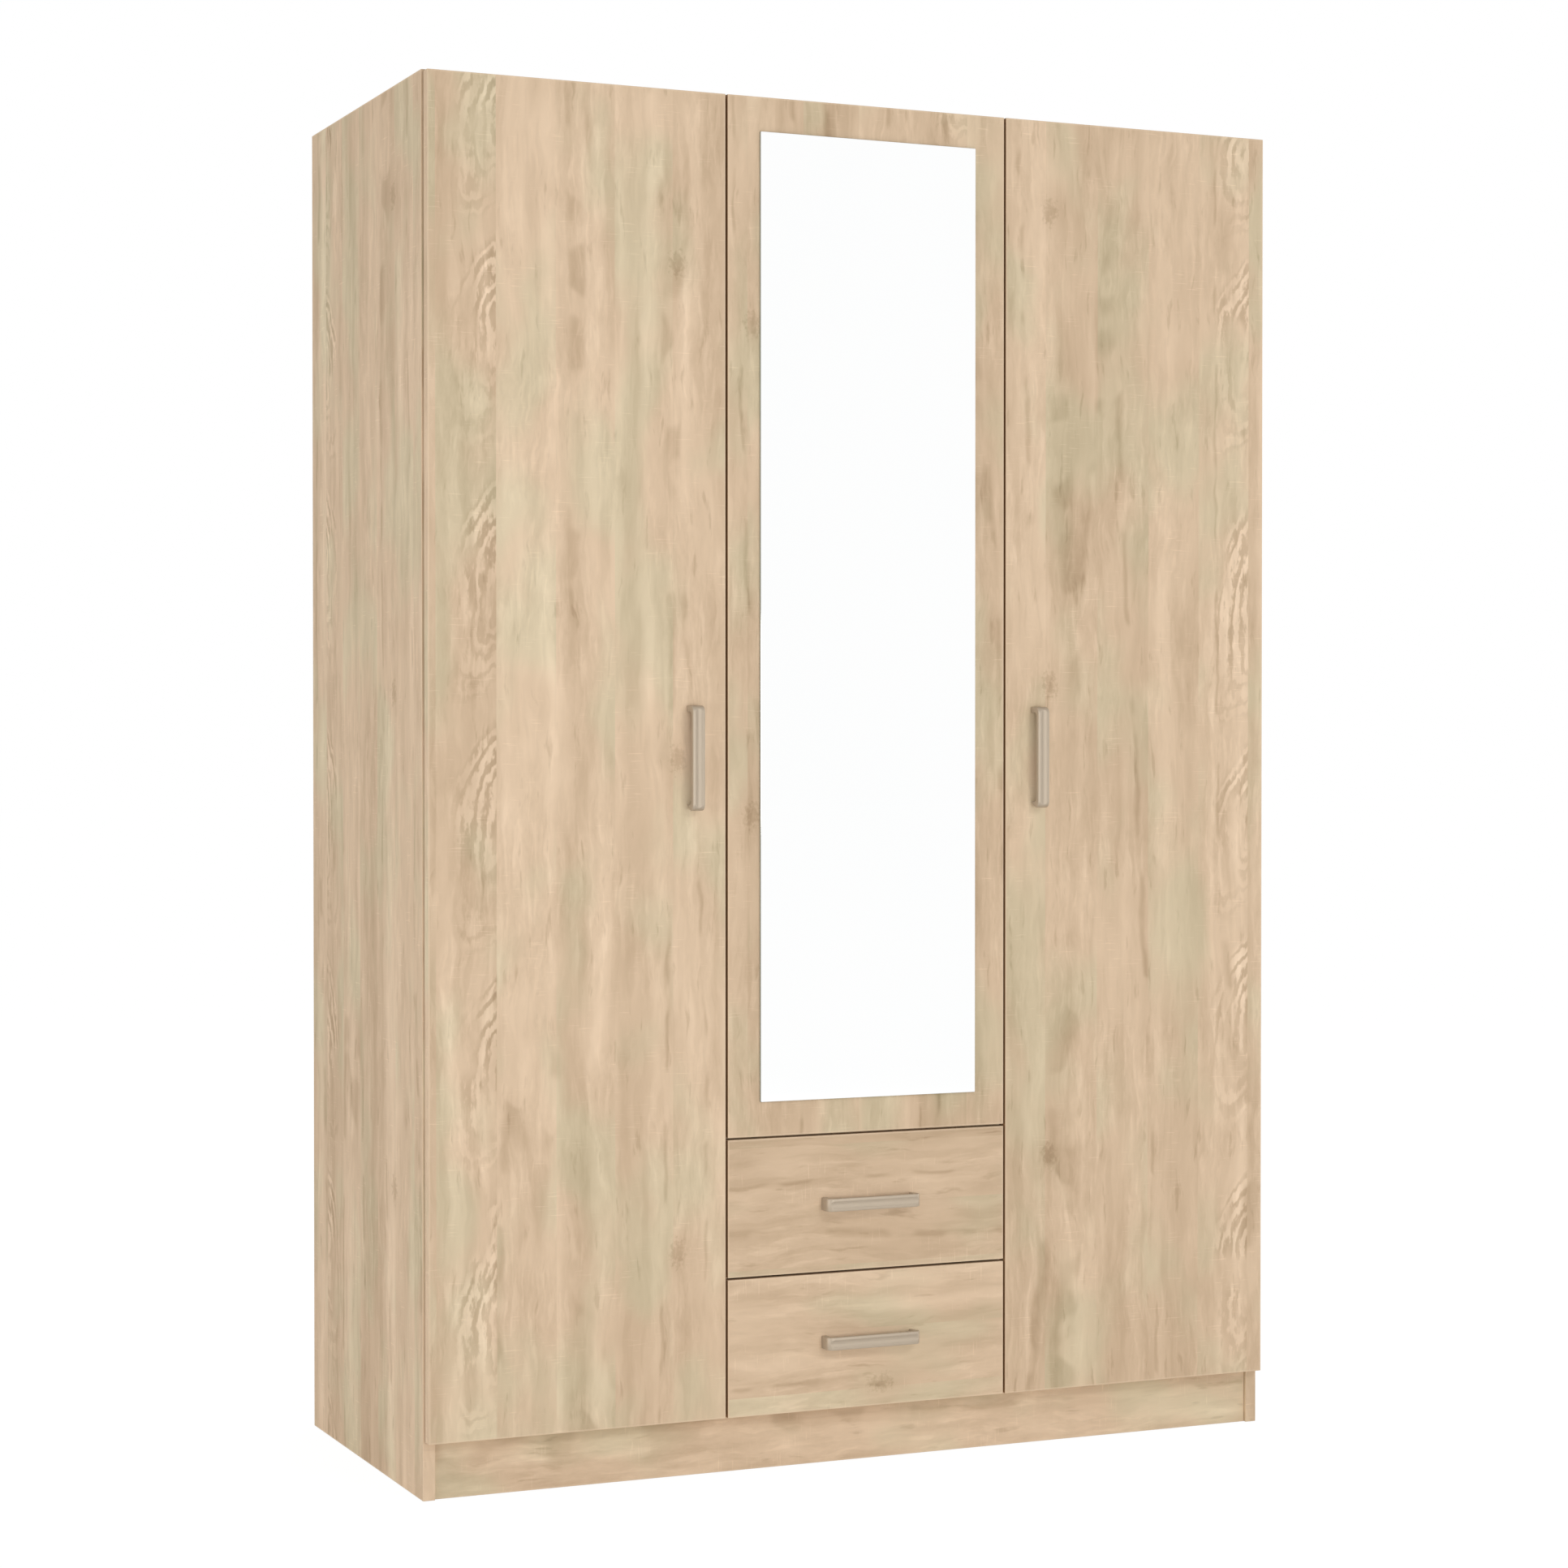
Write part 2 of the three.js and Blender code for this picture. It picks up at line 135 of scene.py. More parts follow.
def new_group(name, inputs, outputs):
    tree = bpy.data.node_groups.new(name, "ShaderNodeTree")
    for label, kind, value in inputs:
        socket = tree.interface.new_socket(label, in_out="INPUT", socket_type=kind)
        if value is not None:
            socket.default_value = value
    for label, kind in outputs:
        tree.interface.new_socket(label, in_out="OUTPUT", socket_type=kind)
    graph = Graph(tree)
    return graph, graph.node("NodeGroupInput").outputs, graph.node("NodeGroupOutput").inputs


# ---------------------------------------------------------------- oak print

# Lengths on the print, in metres
SHEET_WIDTH = 0.560
STRIP_WIDTH = 0.080
WANDER = 0.036
RIPPLE = 0.012
FIGURE_PITCH = 0.310
ARCH_WIDTH = 0.020
ARCH_RISE = 0.026
ARCH_STRAIGHT = 0.035
FIGURE_FADES = (0.066, 0.034)
KNOT_PITCH = 0.640
KNOT_PLACE = 0.246
KNOT_SHIFT = 0.1
KNOT_WIDTH = 0.011
KNOT_LENGTH = 0.017

# The tone before any pattern, where 0 is the darkest and 1 the lightest
BAND_TONE = 0.530

# How much each pattern changes the tone
SHEET_LEAN = 0.06
BROAD_BANDS = 0.52
NARROW_BANDS = 0.44
STRIP_CONTRAST = 0.22
BLOTCHES = 0.30
CLOUDS = 0.28
LENS_SHAPES = -0.06
FEATHERS = 0.28
FIBRES = 0.10
FLECKS = 0.08
STREAK_DEPTH = 0.20
VEIN_DEPTH = 0.22
FIGURE_CONTRAST = 0.46
KNOT_DEPTH = 0.24
HALO_DEPTH = 0.07
SAW_MARKS = 0.13

# A vein runs where its noise comes this near to its middle value
VEIN_REACH = 0.022

# Levels on the 0 to 255 scale, and what red, green and blue add to them
DARKEST_TONE = 150
LIGHTEST_TONE = 225
TONE_STEPS = 5
ROSY = (21.2, -4.5, -33.6)
MOSSY = (15.8, -1.5, -32.3)


def oak_tones(graph, value, hue):
    """Maps 0 to 1 onto the oak's tones, dark to light. hue is what red, green and blue add to each."""
    points = []
    for number in range(TONE_STEPS + 1):
        share = number / TONE_STEPS
        tone = DARKEST_TONE + (LIGHTEST_TONE - DARKEST_TONE) * share
        points.append((share, srgb(*(tone + added for added in hue))))
    return graph.ramp(value, points)


def flame_figure(graph, grain, along, to_joint):
    """Torn arches that lean on the joint at the right of the sheet, one figure above the other."""
    sway = graph.centred(grain(0.0, 2.1, 7.0), 0.30)
    turns = graph.math("DIVIDE", graph.math("ADD", along, sway), FIGURE_PITCH)
    from_centre = graph.product(graph.math("SUBTRACT", graph.math("FRACT", turns), 0.5), FIGURE_PITCH)
    leaning = graph.math("ABSOLUTE", graph.math("MULTIPLY_ADD", to_joint, 0.9, from_centre))
    past_straight = graph.math("MAXIMUM", graph.math("SUBTRACT", leaning, ARCH_STRAIGHT), 0.0)
    arches = graph.length(
        graph.math("DIVIDE", to_joint, ARCH_WIDTH), graph.math("DIVIDE", past_straight, ARCH_RISE),
    )
    bend = graph.centred(grain(20.0, 6.0, 8.0), 2.4)
    tear = graph.centred(grain(95.0, 32.0, 9.0, 3.0, 0.6), 1.6)
    crowding_place = graph.node("ShaderNodeCombineXYZ", (arches, 0.0, sway)).outputs[0]
    crowding = graph.centred(graph.noise(crowding_place), 1.4)
    wave = graph.math("SINE", graph.product(graph.total(arches, crowding, bend, tear), 2 * math.pi))
    strokes = graph.math("SUBTRACT", graph.step(wave, -0.9, 0.7), 0.55)
    patches = graph.step(grain(22.0, 11.0, 10.0), 0.34, 0.58)
    upper = graph.math("MULTIPLY_ADD", graph.step(from_centre, -0.10, 0.06), 0.6, 0.4)
    near = graph.product(graph.step(to_joint, *FIGURE_FADES), graph.step(arches, 4.2, 2.9))
    return graph.product(strokes, near, patches, upper, FIGURE_CONTRAST)


def knots(graph, grain, along, from_joint):
    """How much darker the knots are: each is a smudge with a few feathers round it."""
    turns = graph.math("DIVIDE", graph.math("ADD", along, KNOT_SHIFT), KNOT_PITCH)
    knot_y = graph.product(graph.math("SUBTRACT", graph.math("FRACT", turns), 0.5), KNOT_PITCH)
    knot_x = graph.math("SUBTRACT", from_joint, KNOT_PLACE)
    reach = graph.length(
        graph.math("DIVIDE", knot_x, KNOT_WIDTH), graph.math("DIVIDE", knot_y, KNOT_LENGTH),
    )
    torn = graph.total(reach, graph.centred(grain(190.0, 150.0, 12.0), 2.6))
    smudge = graph.product(graph.step(torn, 1.3, 0.3), KNOT_DEPTH)
    halo = graph.product(graph.step(reach, 3.4, 0.8), HALO_DEPTH)
    return graph.total(smudge, halo)


def oak_print_group():
    """The printed oak decor. Its x runs across the grain and its y along it, in metres. Lift makes a
    board paler."""
    graph, given, made = new_group(
        "oak_print",
        [("Place", "NodeSocketVector", None), ("Lift", "NodeSocketFloat", 0.0)],
        [("Colour", "NodeSocketColor"), ("Roughness", "NodeSocketFloat"), ("Height", "NodeSocketFloat")],
    )
    across, along = graph.node("ShaderNodeSeparateXYZ", (given["Place"],)).outputs[0:2]
    math_node, centred, total, product = graph.math, graph.centred, graph.total, graph.product

    def grain(x_scale, y_scale, seed, detail=2.0, roughness=0.5, x=across):
        """Noise with so many marks to a metre across and along the grain. seed sets patterns apart."""
        place = graph.node("ShaderNodeCombineXYZ", (
            math_node("MULTIPLY", x, x_scale), math_node("MULTIPLY", along, y_scale), seed,
        )).outputs[0]
        return graph.noise(place, detail, roughness)

    # The grain wanders a few millimetres from side to side, but the joints between strips are straight
    drift = centred(grain(6.0, 3.0, 1.0), WANDER)
    ripple = centred(grain(36.0, 16.0, 2.0), RIPPLE)
    wandering = total(across, drift, ripple)

    sheets = math_node("DIVIDE", across, SHEET_WIDTH)
    sheet = math_node("FLOOR", sheets)
    share = math_node("SUBTRACT", sheets, sheet)
    from_joint = math_node("MULTIPLY", share, SHEET_WIDTH)
    to_joint = math_node("SUBTRACT", SHEET_WIDTH, from_joint)

    # Light and dark bands that follow the grain, over straight strips side by side. Each sheet is printed
    # from another stretch of the same pattern, a little paler at its left edge than at its right.
    sheet_seed = math_node("MULTIPLY_ADD", sheet, 5.3, 21.0)
    sheet_lean = math_node("MULTIPLY", math_node("SUBTRACT", 0.5, share), SHEET_LEAN)
    bands = total(
        BAND_TONE, sheet_lean,
        centred(grain(9.0, 0.3, sheet_seed, 1.0, x=wandering), BROAD_BANDS),
        centred(grain(32.0, 0.6, sheet_seed, 1.0, x=wandering), NARROW_BANDS),
    )
    strip = math_node("FLOOR", math_node("DIVIDE", across, STRIP_WIDTH))
    far_apart = math_node("MULTIPLY", strip, 7.37)
    strip_place = graph.node("ShaderNodeCombineXYZ", (far_apart, 0.5, 23.5)).outputs[0]
    strips = math_node("ADD", centred(graph.noise(strip_place, 1.0, 0.5), STRIP_CONTRAST), 0.5)
    strip_seed = math_node("MULTIPLY", strips, 60.0)

    # Blotches, lens shapes and fibres, livelier in some places than in others
    broad = grain(22.0, 4.0, strip_seed, 1.0, x=wandering)
    middle = grain(48.0, 11.0, 4.0, x=wandering)
    feather = grain(105.0, 30.0, 5.0, 2.0, 0.6, wandering)
    fine = grain(400.0, 130.0, 6.0, 2.0, 0.6, wandering)
    lenses = graph.step(grain(58.0, 5.5, 17.0, x=wandering), 0.50, 0.58)
    flecks = graph.step(grain(120.0, 14.0, 18.0, x=wandering), 0.54, 0.62)
    lively = math_node("MULTIPLY_ADD", graph.step(grain(13.0, 5.0, 19.0), 0.40, 0.60), 0.7, 0.3)
    small = total(centred(feather, FEATHERS), centred(fine, FIBRES), centred(flecks, FLECKS))
    tone = total(
        given["Lift"], bands, math_node("SUBTRACT", strips, 0.5), centred(broad, BLOTCHES),
        centred(middle, CLOUDS), centred(lenses, LENS_SHAPES), product(small, lively),
    )

    # Dark feathered streaks, and a few broken veins that follow the grain
    streaks = graph.step(grain(80.0, 13.0, 11.0, 3.0, 0.6, wandering), 0.60, 0.72)
    vein_field = math_node("ABSOLUTE", centred(grain(7.0, 0.35, 24.0, 1.0, x=wandering), 1.0))
    veins = graph.step(vein_field, VEIN_REACH, 0.0)
    broken = graph.step(grain(14.0, 11.0, 16.0, 1.5), 0.47, 0.56)
    dark_lines = total(product(streaks, STREAK_DEPTH), product(veins, broken, VEIN_DEPTH))
    tone = math_node("SUBTRACT", tone, dark_lines)

    tone = total(tone, flame_figure(graph, grain, along, to_joint))
    tone = math_node("SUBTRACT", tone, knots(graph, grain, along, from_joint))

    # Short pale saw marks across the grain, in patches
    saw_lines = graph.step(grain(30.0, 420.0, 13.0, 1.0), 0.62, 0.74)
    saw_patch = graph.step(grain(20.0, 14.0, 14.0, 1.0), 0.47, 0.62)
    tone = math_node("ADD", tone, product(saw_lines, saw_patch, SAW_MARKS), clamp=True)

    rosy = oak_tones(graph, tone, ROSY)
    mossy = oak_tones(graph, tone, MOSSY)
    tint = grain(8.0, 4.5, strip_seed, x=wandering)
    graph.feed(made["Colour"], graph.mix(graph.step(tint, 0.47, 0.66), rosy, mossy))
    graph.feed(made["Roughness"], math_node("MULTIPLY_ADD", middle, 0.10, 0.55))
    graph.feed(made["Height"], total(fine, feather))
    return graph.tree


def metal_marks_group():
    """Fine marks of rolling and polishing. Place is in units of one mark."""
    graph, given, made = new_group(
        "metal_marks",
        [("Place", "NodeSocketVector", None), ("Depth", "NodeSocketFloat", 0.5)],
        [("Shade", "NodeSocketFloat"), ("Roughness", "NodeSocketFloat"), ("Height", "NodeSocketFloat")],
    )
    marks = graph.noise(given["Place"], 3.0, 0.6)
    handling = graph.noise(given["Place"], 1.0, 0.5, scale=0.02)
    shade = graph.total(graph.centred(marks, given["Depth"]), graph.centred(handling, 0.5), 0.5)
    graph.feed(made["Shade"], shade)
    graph.feed(made["Roughness"], graph.total(graph.centred(marks, 0.10), graph.centred(handling, 0.10)))
    graph.feed(made["Height"], marks)
    return graph.tree


# ---------------------------------------------------------------- finishes

# Painted highlight: the pale colour laid on the rounded corners and on a line round the wide faces of the
# boards, where the edges would catch the light
EDGE_HIGHLIGHT_COLOUR = srgb(228, 204, 175)
# Painted shade: the brown laid over the edges of fronts that look onto the next front, for the shade in
# the joints between them
SHADED_EDGE_COLOUR = srgb(156, 114, 68)
SATIN_DARK = srgb(164, 150, 132)
SATIN_LIGHT = srgb(190, 175, 155)
SCREEN_PITCH = 2600
FOIL_SHINE = 0.05
PAPER_SHINE = 0.3


def bare_material(name):
    material = bpy.data.materials.new(name)
    material.use_nodes = True
    material.node_tree.nodes.clear()
    return material, Graph(material.node_tree)


def new_material(name):
    material, graph = bare_material(name)
    shader = graph.node("ShaderNodeBsdfPrincipled")
    output = graph.node("ShaderNodeOutputMaterial")
    graph.feed(output.inputs["Surface"], shader.outputs[0])
    return material, graph, shader


def add_bump(graph, shader, height, distance, strength=0.5):
    bump = graph.node("ShaderNodeBump", {"Height": height, "Distance": distance, "Strength": strength})
    graph.feed(shader.inputs["Normal"], bump.outputs[0])


def object_place(graph, scale):
    place = graph.node("ShaderNodeTexCoord").outputs["Object"]
    return graph.node("ShaderNodeMapping", {"Vector": place, "Scale": scale}).outputs[0]


def printed_oak(graph):
    place = graph.node("ShaderNodeUVMap", uv_map="grain").outputs[0]
    decor = graph.node("ShaderNodeGroup", node_tree=oak_print)
    graph.feed(decor.inputs["Place"], place)
    lift = graph.node("ShaderNodeAttribute", attribute_name="lift").outputs["Fac"]
    graph.feed(decor.inputs["Lift"], lift)
    return decor.outputs


def oak_material(name, shade_overprint, share):
    """Board in oak foil, partly overprinted with a colour, which on the edges that look onto another front
    is painted shade.
    The attribute edge_highlight is 0 on the faces and 1 on the rounded corners, which are painted paler as
    a highlight."""
    material, graph, shader = new_material(name)
    decor = printed_oak(graph)
    edge_highlight = graph.node("ShaderNodeAttribute", attribute_name="edge_highlight").outputs["Fac"]
    face = graph.mix(share, decor["Colour"], shade_overprint)
    graph.feed(shader.inputs["Base Color"], graph.mix(edge_highlight, face, EDGE_HIGHLIGHT_COLOUR))
    graph.feed(shader.inputs["Roughness"], decor["Roughness"])
    add_bump(graph, shader, decor["Height"], 0.1 * MM, 0.4)
    shader.inputs["Specular IOR Level"].default_value = FOIL_SHINE
    return material


def printed_hardboard_material():
    material, graph, shader = new_material("printed_hardboard")
    decor = printed_oak(graph)
    paper = graph.noise(object_place(graph, (260, 260, 260)), 3.0, 0.6)
    graph.feed(shader.inputs["Base Color"], graph.mix(0.25, decor["Colour"], srgb(226, 205, 176)))
    graph.feed(shader.inputs["Roughness"], graph.math("MULTIPLY_ADD", paper, 0.12, 0.52))
    add_bump(graph, shader, paper, 0.05 * MM)
    shader.inputs["Specular IOR Level"].default_value = PAPER_SHINE
    return material


def raw_hardboard_material():
    """The back of the sheets: brown pressed fibre with the weave of the press screen."""
    material, graph, shader = new_material("raw_hardboard")
    fibres = graph.noise(object_place(graph, (900, 900, 420)), 3.0, 0.65)
    clouds = graph.noise(object_place(graph, (9, 9, 6)), 2.0)
    screen_x, _, screen_z = graph.node(
        "ShaderNodeSeparateXYZ", (object_place(graph, (SCREEN_PITCH, SCREEN_PITCH, SCREEN_PITCH)),),
    ).outputs
    weave = graph.product(graph.math("SINE", screen_x), graph.math("SINE", screen_z))
    tone = graph.total(
        graph.centred(fibres, 0.9), graph.centred(clouds, 0.7), graph.product(weave, 0.06), 0.5,
    )
    colour = graph.ramp(
        tone, [(0.0, srgb(112, 78, 48)), (0.5, srgb(146, 108, 72)), (1.0, srgb(176, 140, 100))],
    )
    graph.feed(shader.inputs["Base Color"], colour)
    graph.feed(shader.inputs["Roughness"], graph.math("MULTIPLY_ADD", fibres, 0.12, 0.72))
    add_bump(graph, shader, graph.total(fibres, graph.product(weave, 0.4)), 0.15 * MM)
    return material


def metal_material(name, dark, light, roughness, marks, depth=0.5, metallic=1.0):
    """marks gives how many marks there are to a metre along X, Y and Z."""
    material, graph, shader = new_material(name)
    worked = graph.node("ShaderNodeGroup", node_tree=metal_marks)
    graph.feed(worked.inputs["Place"], object_place(graph, marks))
    graph.feed(worked.inputs["Depth"], depth)
    graph.feed(shader.inputs["Base Color"], graph.mix(worked.outputs["Shade"], dark, light))
    graph.feed(shader.inputs["Roughness"], graph.math("ADD", worked.outputs["Roughness"], roughness))
    add_bump(graph, shader, worked.outputs["Height"], 0.02 * MM, 0.3)
    shader.inputs["Metallic"].default_value = metallic
    return material


def runner_material():
    material, graph, shader = new_material("runner_plastic")
    moulded = graph.noise(object_place(graph, (700, 90, 700)), 2.0)
    graph.feed(shader.inputs["Base Color"], graph.mix(moulded, srgb(214, 208, 196), srgb(232, 228, 218)))
    graph.feed(shader.inputs["Roughness"], graph.math("MULTIPLY_ADD", moulded, 0.14, 0.38))
    add_bump(graph, shader, moulded, 0.05 * MM)
    return material


def mirror_material():
    """Silvered glass. The attribute ground is 1 on the ground edge, which shows green and matt."""
    material, graph, shader = new_material("mirror_glass")
    ground = graph.node("ShaderNodeAttribute", attribute_name="ground").outputs["Fac"]
    haze = graph.noise(object_place(graph, (5, 5, 3)), 2.0)
    silver = graph.mix(haze, srgb(252, 253, 253), srgb(254, 254, 254))
    graph.feed(shader.inputs["Base Color"], graph.mix(ground, silver, srgb(168, 178, 172)))
    polish = graph.math("MULTIPLY_ADD", haze, 0.012, 0.004)
    graph.feed(shader.inputs["Roughness"], graph.math("MULTIPLY_ADD", ground, 0.35, polish))
    graph.feed(shader.inputs["Metallic"], graph.math("MULTIPLY_ADD", ground, -0.7, 1.0))
    return material


def satin_metal(name, marks):
    return metal_material(name, SATIN_DARK, SATIN_LIGHT, 0.50, marks, depth=0.9, metallic=0.35)


oak_print = oak_print_group()
metal_marks = metal_marks_group()
oak = oak_material("oak_board", EDGE_HIGHLIGHT_COLOUR, 0.0)
# Painted shade: the edges of fronts that look onto another front are three quarters a shade brown
oak_painted_gap_shade = oak_material("oak_painted_gap_shade", SHADED_EDGE_COLOUR, 0.75)
hardboard_face = printed_hardboard_material()
hardboard_back = raw_hardboard_material()
satin_along_x = satin_metal("satin_metal_level", (60, 1500, 1500))
satin_along_z = satin_metal("satin_metal_upright", (1500, 1500, 60))
nickel = metal_material("nickel_plate", srgb(176, 174, 168), srgb(206, 204, 198), 0.24, (800, 800, 800))
chrome = metal_material("chrome_tube", srgb(206, 208, 210), srgb(222, 224, 226), 0.10, (30, 900, 900), 0.4)
zinc = metal_material("zinc_plate", srgb(150, 152, 150), srgb(196, 198, 196), 0.32, (700, 700, 700), 0.8)
plastic = runner_material()
silvering = mirror_material()


# ---------------------------------------------------------------- making pieces

BODY_OF = {node: body for body, nodes in frame["record"]["behaviour"]["bodies"].items() for node in nodes}
SLOT_OF = {row["node"]: row["material_slot"] for row in frame["record"]["subparts"]}
NODES = sorted(frame["nodes"])


def piece_from(bm, name, body, slot, materials, *nodes):
    """Makes the finished mesh an object that rides on a body and stands for the given CAD nodes."""
    mesh = bpy.data.meshes.new(name)
    bm.to_mesh(mesh)
    bm.free()
    for material in materials:
        mesh.materials.append(material)
    piece = bpy.data.objects.new(name, mesh)
    bpy.context.scene.collection.objects.link(piece)
    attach(piece, body)
    if nodes:
        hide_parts(*nodes)


def merged_copy(node):
    """A CAD node's mesh with its corners joined and its flat faces whole."""
    bm = bmesh.new()
    bm.from_mesh(frame["nodes"][node].data)
    bmesh.ops.remove_doubles(bm, verts=bm.verts, dist=0.001 * MM)
    bmesh.ops.dissolve_limit(bm, angle_limit=math.radians(1), verts=bm.verts, edges=bm.edges)
    return bm


BOARD_ROUNDING = 0.6 * MM
MIRROR_ROUNDING = 0.8 * MM
SQUARE_ON = 0.999
OUTER_FRONT_EDGE = 0.6


def soften(bm, width, angle=40):
    """Rounds every edge that is sharper than the angle."""
    sharp = [e for e in bm.edges if len(e.link_faces) == 2 and e.calc_face_angle() > math.radians(angle)]
    bmesh.ops.bevel(
        bm, geom=sharp, offset=width, offset_type="OFFSET", affect="EDGES",
        segments=2, profile=0.5, material=-1, clamp_overlap=True,
    )


def shade(bm, angle=35):
    for face in bm.faces:
        face.smooth = True
    for edge in bm.edges:
        edge.smooth = len(edge.link_faces) == 2 and edge.calc_face_angle() < math.radians(angle)


def shade_flat_sheet(bm):
    """Flat faces stay flat, so that a reflection in them is straight; the rounded corners are smooth."""
    shade(bm)
    for face in bm.faces:
        face.smooth = abs(face.normal[widest(face.normal)]) < SQUARE_ON


def widest(vector):
    """The axis along which a vector is longest."""
    return max((X, Y, Z), key=lambda axis: abs(vector[axis]))


def thinnest(size):
    """The axis along which a board is thinnest."""
    return min((X, Y, Z), key=lambda axis: size[axis])


EDGE_STRIP_START = Vector((0.137, 0.41))
EDGE_BAND = 1.5 * MM
# How far the painted highlight pales the line round the wide faces and the rounded corners
EDGE_HIGHLIGHT_LINE = 0.35
CORNER_HIGHLIGHT = 0.6


def beside_a_front(face):
    """Says whether an upright edge of a front, or the corner beside it, looks onto the next front."""
    place = face.calc_center_median()
    sideways = abs(face.normal.x) > abs(face.normal.z) and abs(face.normal.y) < 0.95
    return sideways and abs(place.x) < OUTER_FRONT_EDGE


def lay_grain(bm, node, grain, start, lift=0.0):
    """Lays the decor over a board. grain is the axis that it runs along on the wide faces, and start is
    where on the sheet the board is cut. A narrow edge has a strip of its own, along its length. The
    rounded corners are painted paler as a highlight. The second material goes on the edges that look onto
    another front; on the fronts it is painted shade."""
    layer = bm.loops.layers.uv.new("grain")
    edge_highlight = bm.faces.layers.float.new("edge_highlight")
    lifting = bm.faces.layers.float.new("lift")
    low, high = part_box(node)
    size = high - low
    for face in bm.faces:
        facing = widest(face.normal)
        first, second = (axis for axis in (X, Y, Z) if axis != facing)
        if facing == thinnest(size):
            along = grain
            shift = Vector(start)
        else:
            along = first if size[first] > size[second] else second
            shift = Vector(start) + EDGE_STRIP_START
        # Edges that look onto the next front take the second material, which on the fronts is painted
        # shade
        face.material_index = 1 if beside_a_front(face) else 0
        face[lifting] = lift
        # Rounded corners are painted paler, as a highlight
        if abs(face.normal[facing]) < SQUARE_ON:
            face[edge_highlight] = CORNER_HIGHLIGHT
        across = second if along == first else first
        for loop in face.loops:
            place = loop.vert.co - low
            loop[layer].uv = (place[across] + shift.x, place[along] + shift.y)


def paint_edge_highlight(bm, node):
    """A painted highlight: a pale line round the wide faces, as thick as the band."""
    low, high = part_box(node)
    thin = thinnest(high - low)
    wide = [face for face in bm.faces if abs(face.normal[thin]) > SQUARE_ON and len(face.verts) == 4]
    line = bmesh.ops.inset_individual(
        bm, faces=wide, thickness=EDGE_BAND, use_even_offset=True, use_interpolate=True,
    )
    edge_highlight = bm.faces.layers.float["edge_highlight"]
    for face in line["faces"]:
        face[edge_highlight] = EDGE_HIGHLIGHT_LINE


# edge is the material for the edges that look onto another front; on the fronts it is painted shade
def board(node, grain, start, lift=0.0, edge=None):
    bm = merged_copy(node)
    soften(bm, BOARD_ROUNDING)
    lay_grain(bm, node, grain, start, lift)
    paint_edge_highlight(bm, node)
    shade_flat_sheet(bm)
    piece_from(bm, node + "_board", BODY_OF[node], SLOT_OF[node], [oak, edge or oak], node)


def finished_copy(node, material, rounding):
    bm = merged_copy(node)
    soften(bm, rounding, angle=50)
    shade(bm, 30)
    piece_from(bm, node + "_finished", BODY_OF[node], SLOT_OF[node], [material], node)


def placed(bm, verts, place, facing, scale=(1, 1, 1)):
    """Turns a shape made round Z so that it faces along a vector, and puts it in its place."""
    turn = Vector(facing).to_track_quat("Z", "Y").to_matrix().to_4x4()
    where = Matrix.Translation(place) @ turn @ Matrix.Diagonal((*scale, 1))
    bmesh.ops.transform(bm, matrix=where, verts=verts)


def turned(bm, outline, place, facing, steps=16):
    """Turns an outline of (radius, height) points, which starts and ends on the axis, into a solid."""
    points = [bm.verts.new((radius, 0, height)) for radius, height in outline]
    edges = [bm.edges.new(pair) for pair in zip(points, points[1:])]
    before = set(bm.verts) - set(points)
    bmesh.ops.spin(
        bm, geom=points + edges, cent=(0, 0, 0), axis=(0, 0, 1), angle=2 * math.pi,
        steps=steps, use_merge=True,
    )
    made = [vert for vert in bm.verts if vert not in before]
    bmesh.ops.remove_doubles(bm, verts=made, dist=0.001 * MM)
    made = [vert for vert in bm.verts if vert not in before]
    placed(bm, made, place, facing)


CROSS_LENGTH = 0.62
CROSS_WIDTH = 0.15
SCREW_LINES = (-1, -CROSS_LENGTH, -CROSS_WIDTH, CROSS_WIDTH, CROSS_LENGTH, 1)
SCREW_DOME = 0.6
RECESS_DEPTH = 0.7


def cross_screw(bm, place, facing, radius, height):
    """A round screw head with a cross recess, made 1 wide and 1 high from a grid pressed to a disc."""
    cells = len(SCREW_LINES) - 1
    verts = bmesh.ops.create_grid(bm, x_segments=cells, y_segments=cells, size=1)["verts"]
    for vert in verts:
        x, y = (SCREW_LINES[round((value + 1) / 2 * cells)] for value in vert.co.xy)
        round_x = x * math.sqrt(1 - y * y / 2)
        round_y = y * math.sqrt(1 - x * x / 2)
        vert.co = (round_x, round_y, 1 - SCREW_DOME * (round_x ** 2 + round_y ** 2))
    faces = {face for vert in verts for face in vert.link_faces}
    rim = [edge for face in faces for edge in face.edges if edge.is_boundary]
    cross = [
        face for face in faces
        if min(map(abs, face.calc_center_median().xy)) < CROSS_WIDTH
        and max(map(abs, face.calc_center_median().xy)) < CROSS_LENGTH
    ]
    recess = bmesh.ops.inset_region(
        bm, faces=cross, thickness=0.05, depth=-RECESS_DEPTH, use_boundary=True,
    )
    skirt = bmesh.ops.extrude_edge_only(bm, edges=rim)["geom"]
    base = [item for item in skirt if isinstance(item, bmesh.types.BMVert)]
    for vert in base:
        vert.co.z = 0
    bmesh.ops.contextual_create(bm, geom=base)
    walls = {vert for face in recess["faces"] for vert in face.verts}
    placed(bm, list({*verts, *base, *walls}), place, facing, (radius, radius, height))


def fasteners(name, body, add_all, material, slot="hinge_nickel"):
    """One piece that holds all the fasteners of a kind on a body. add_all puts them in the mesh."""
    bm = bmesh.new()
    add_all(bm)
    bmesh.ops.recalc_face_normals(bm, faces=bm.faces)
    shade(bm, 40)
    piece_from(bm, name, body, slot, [material])


# ---------------------------------------------------------------- boards

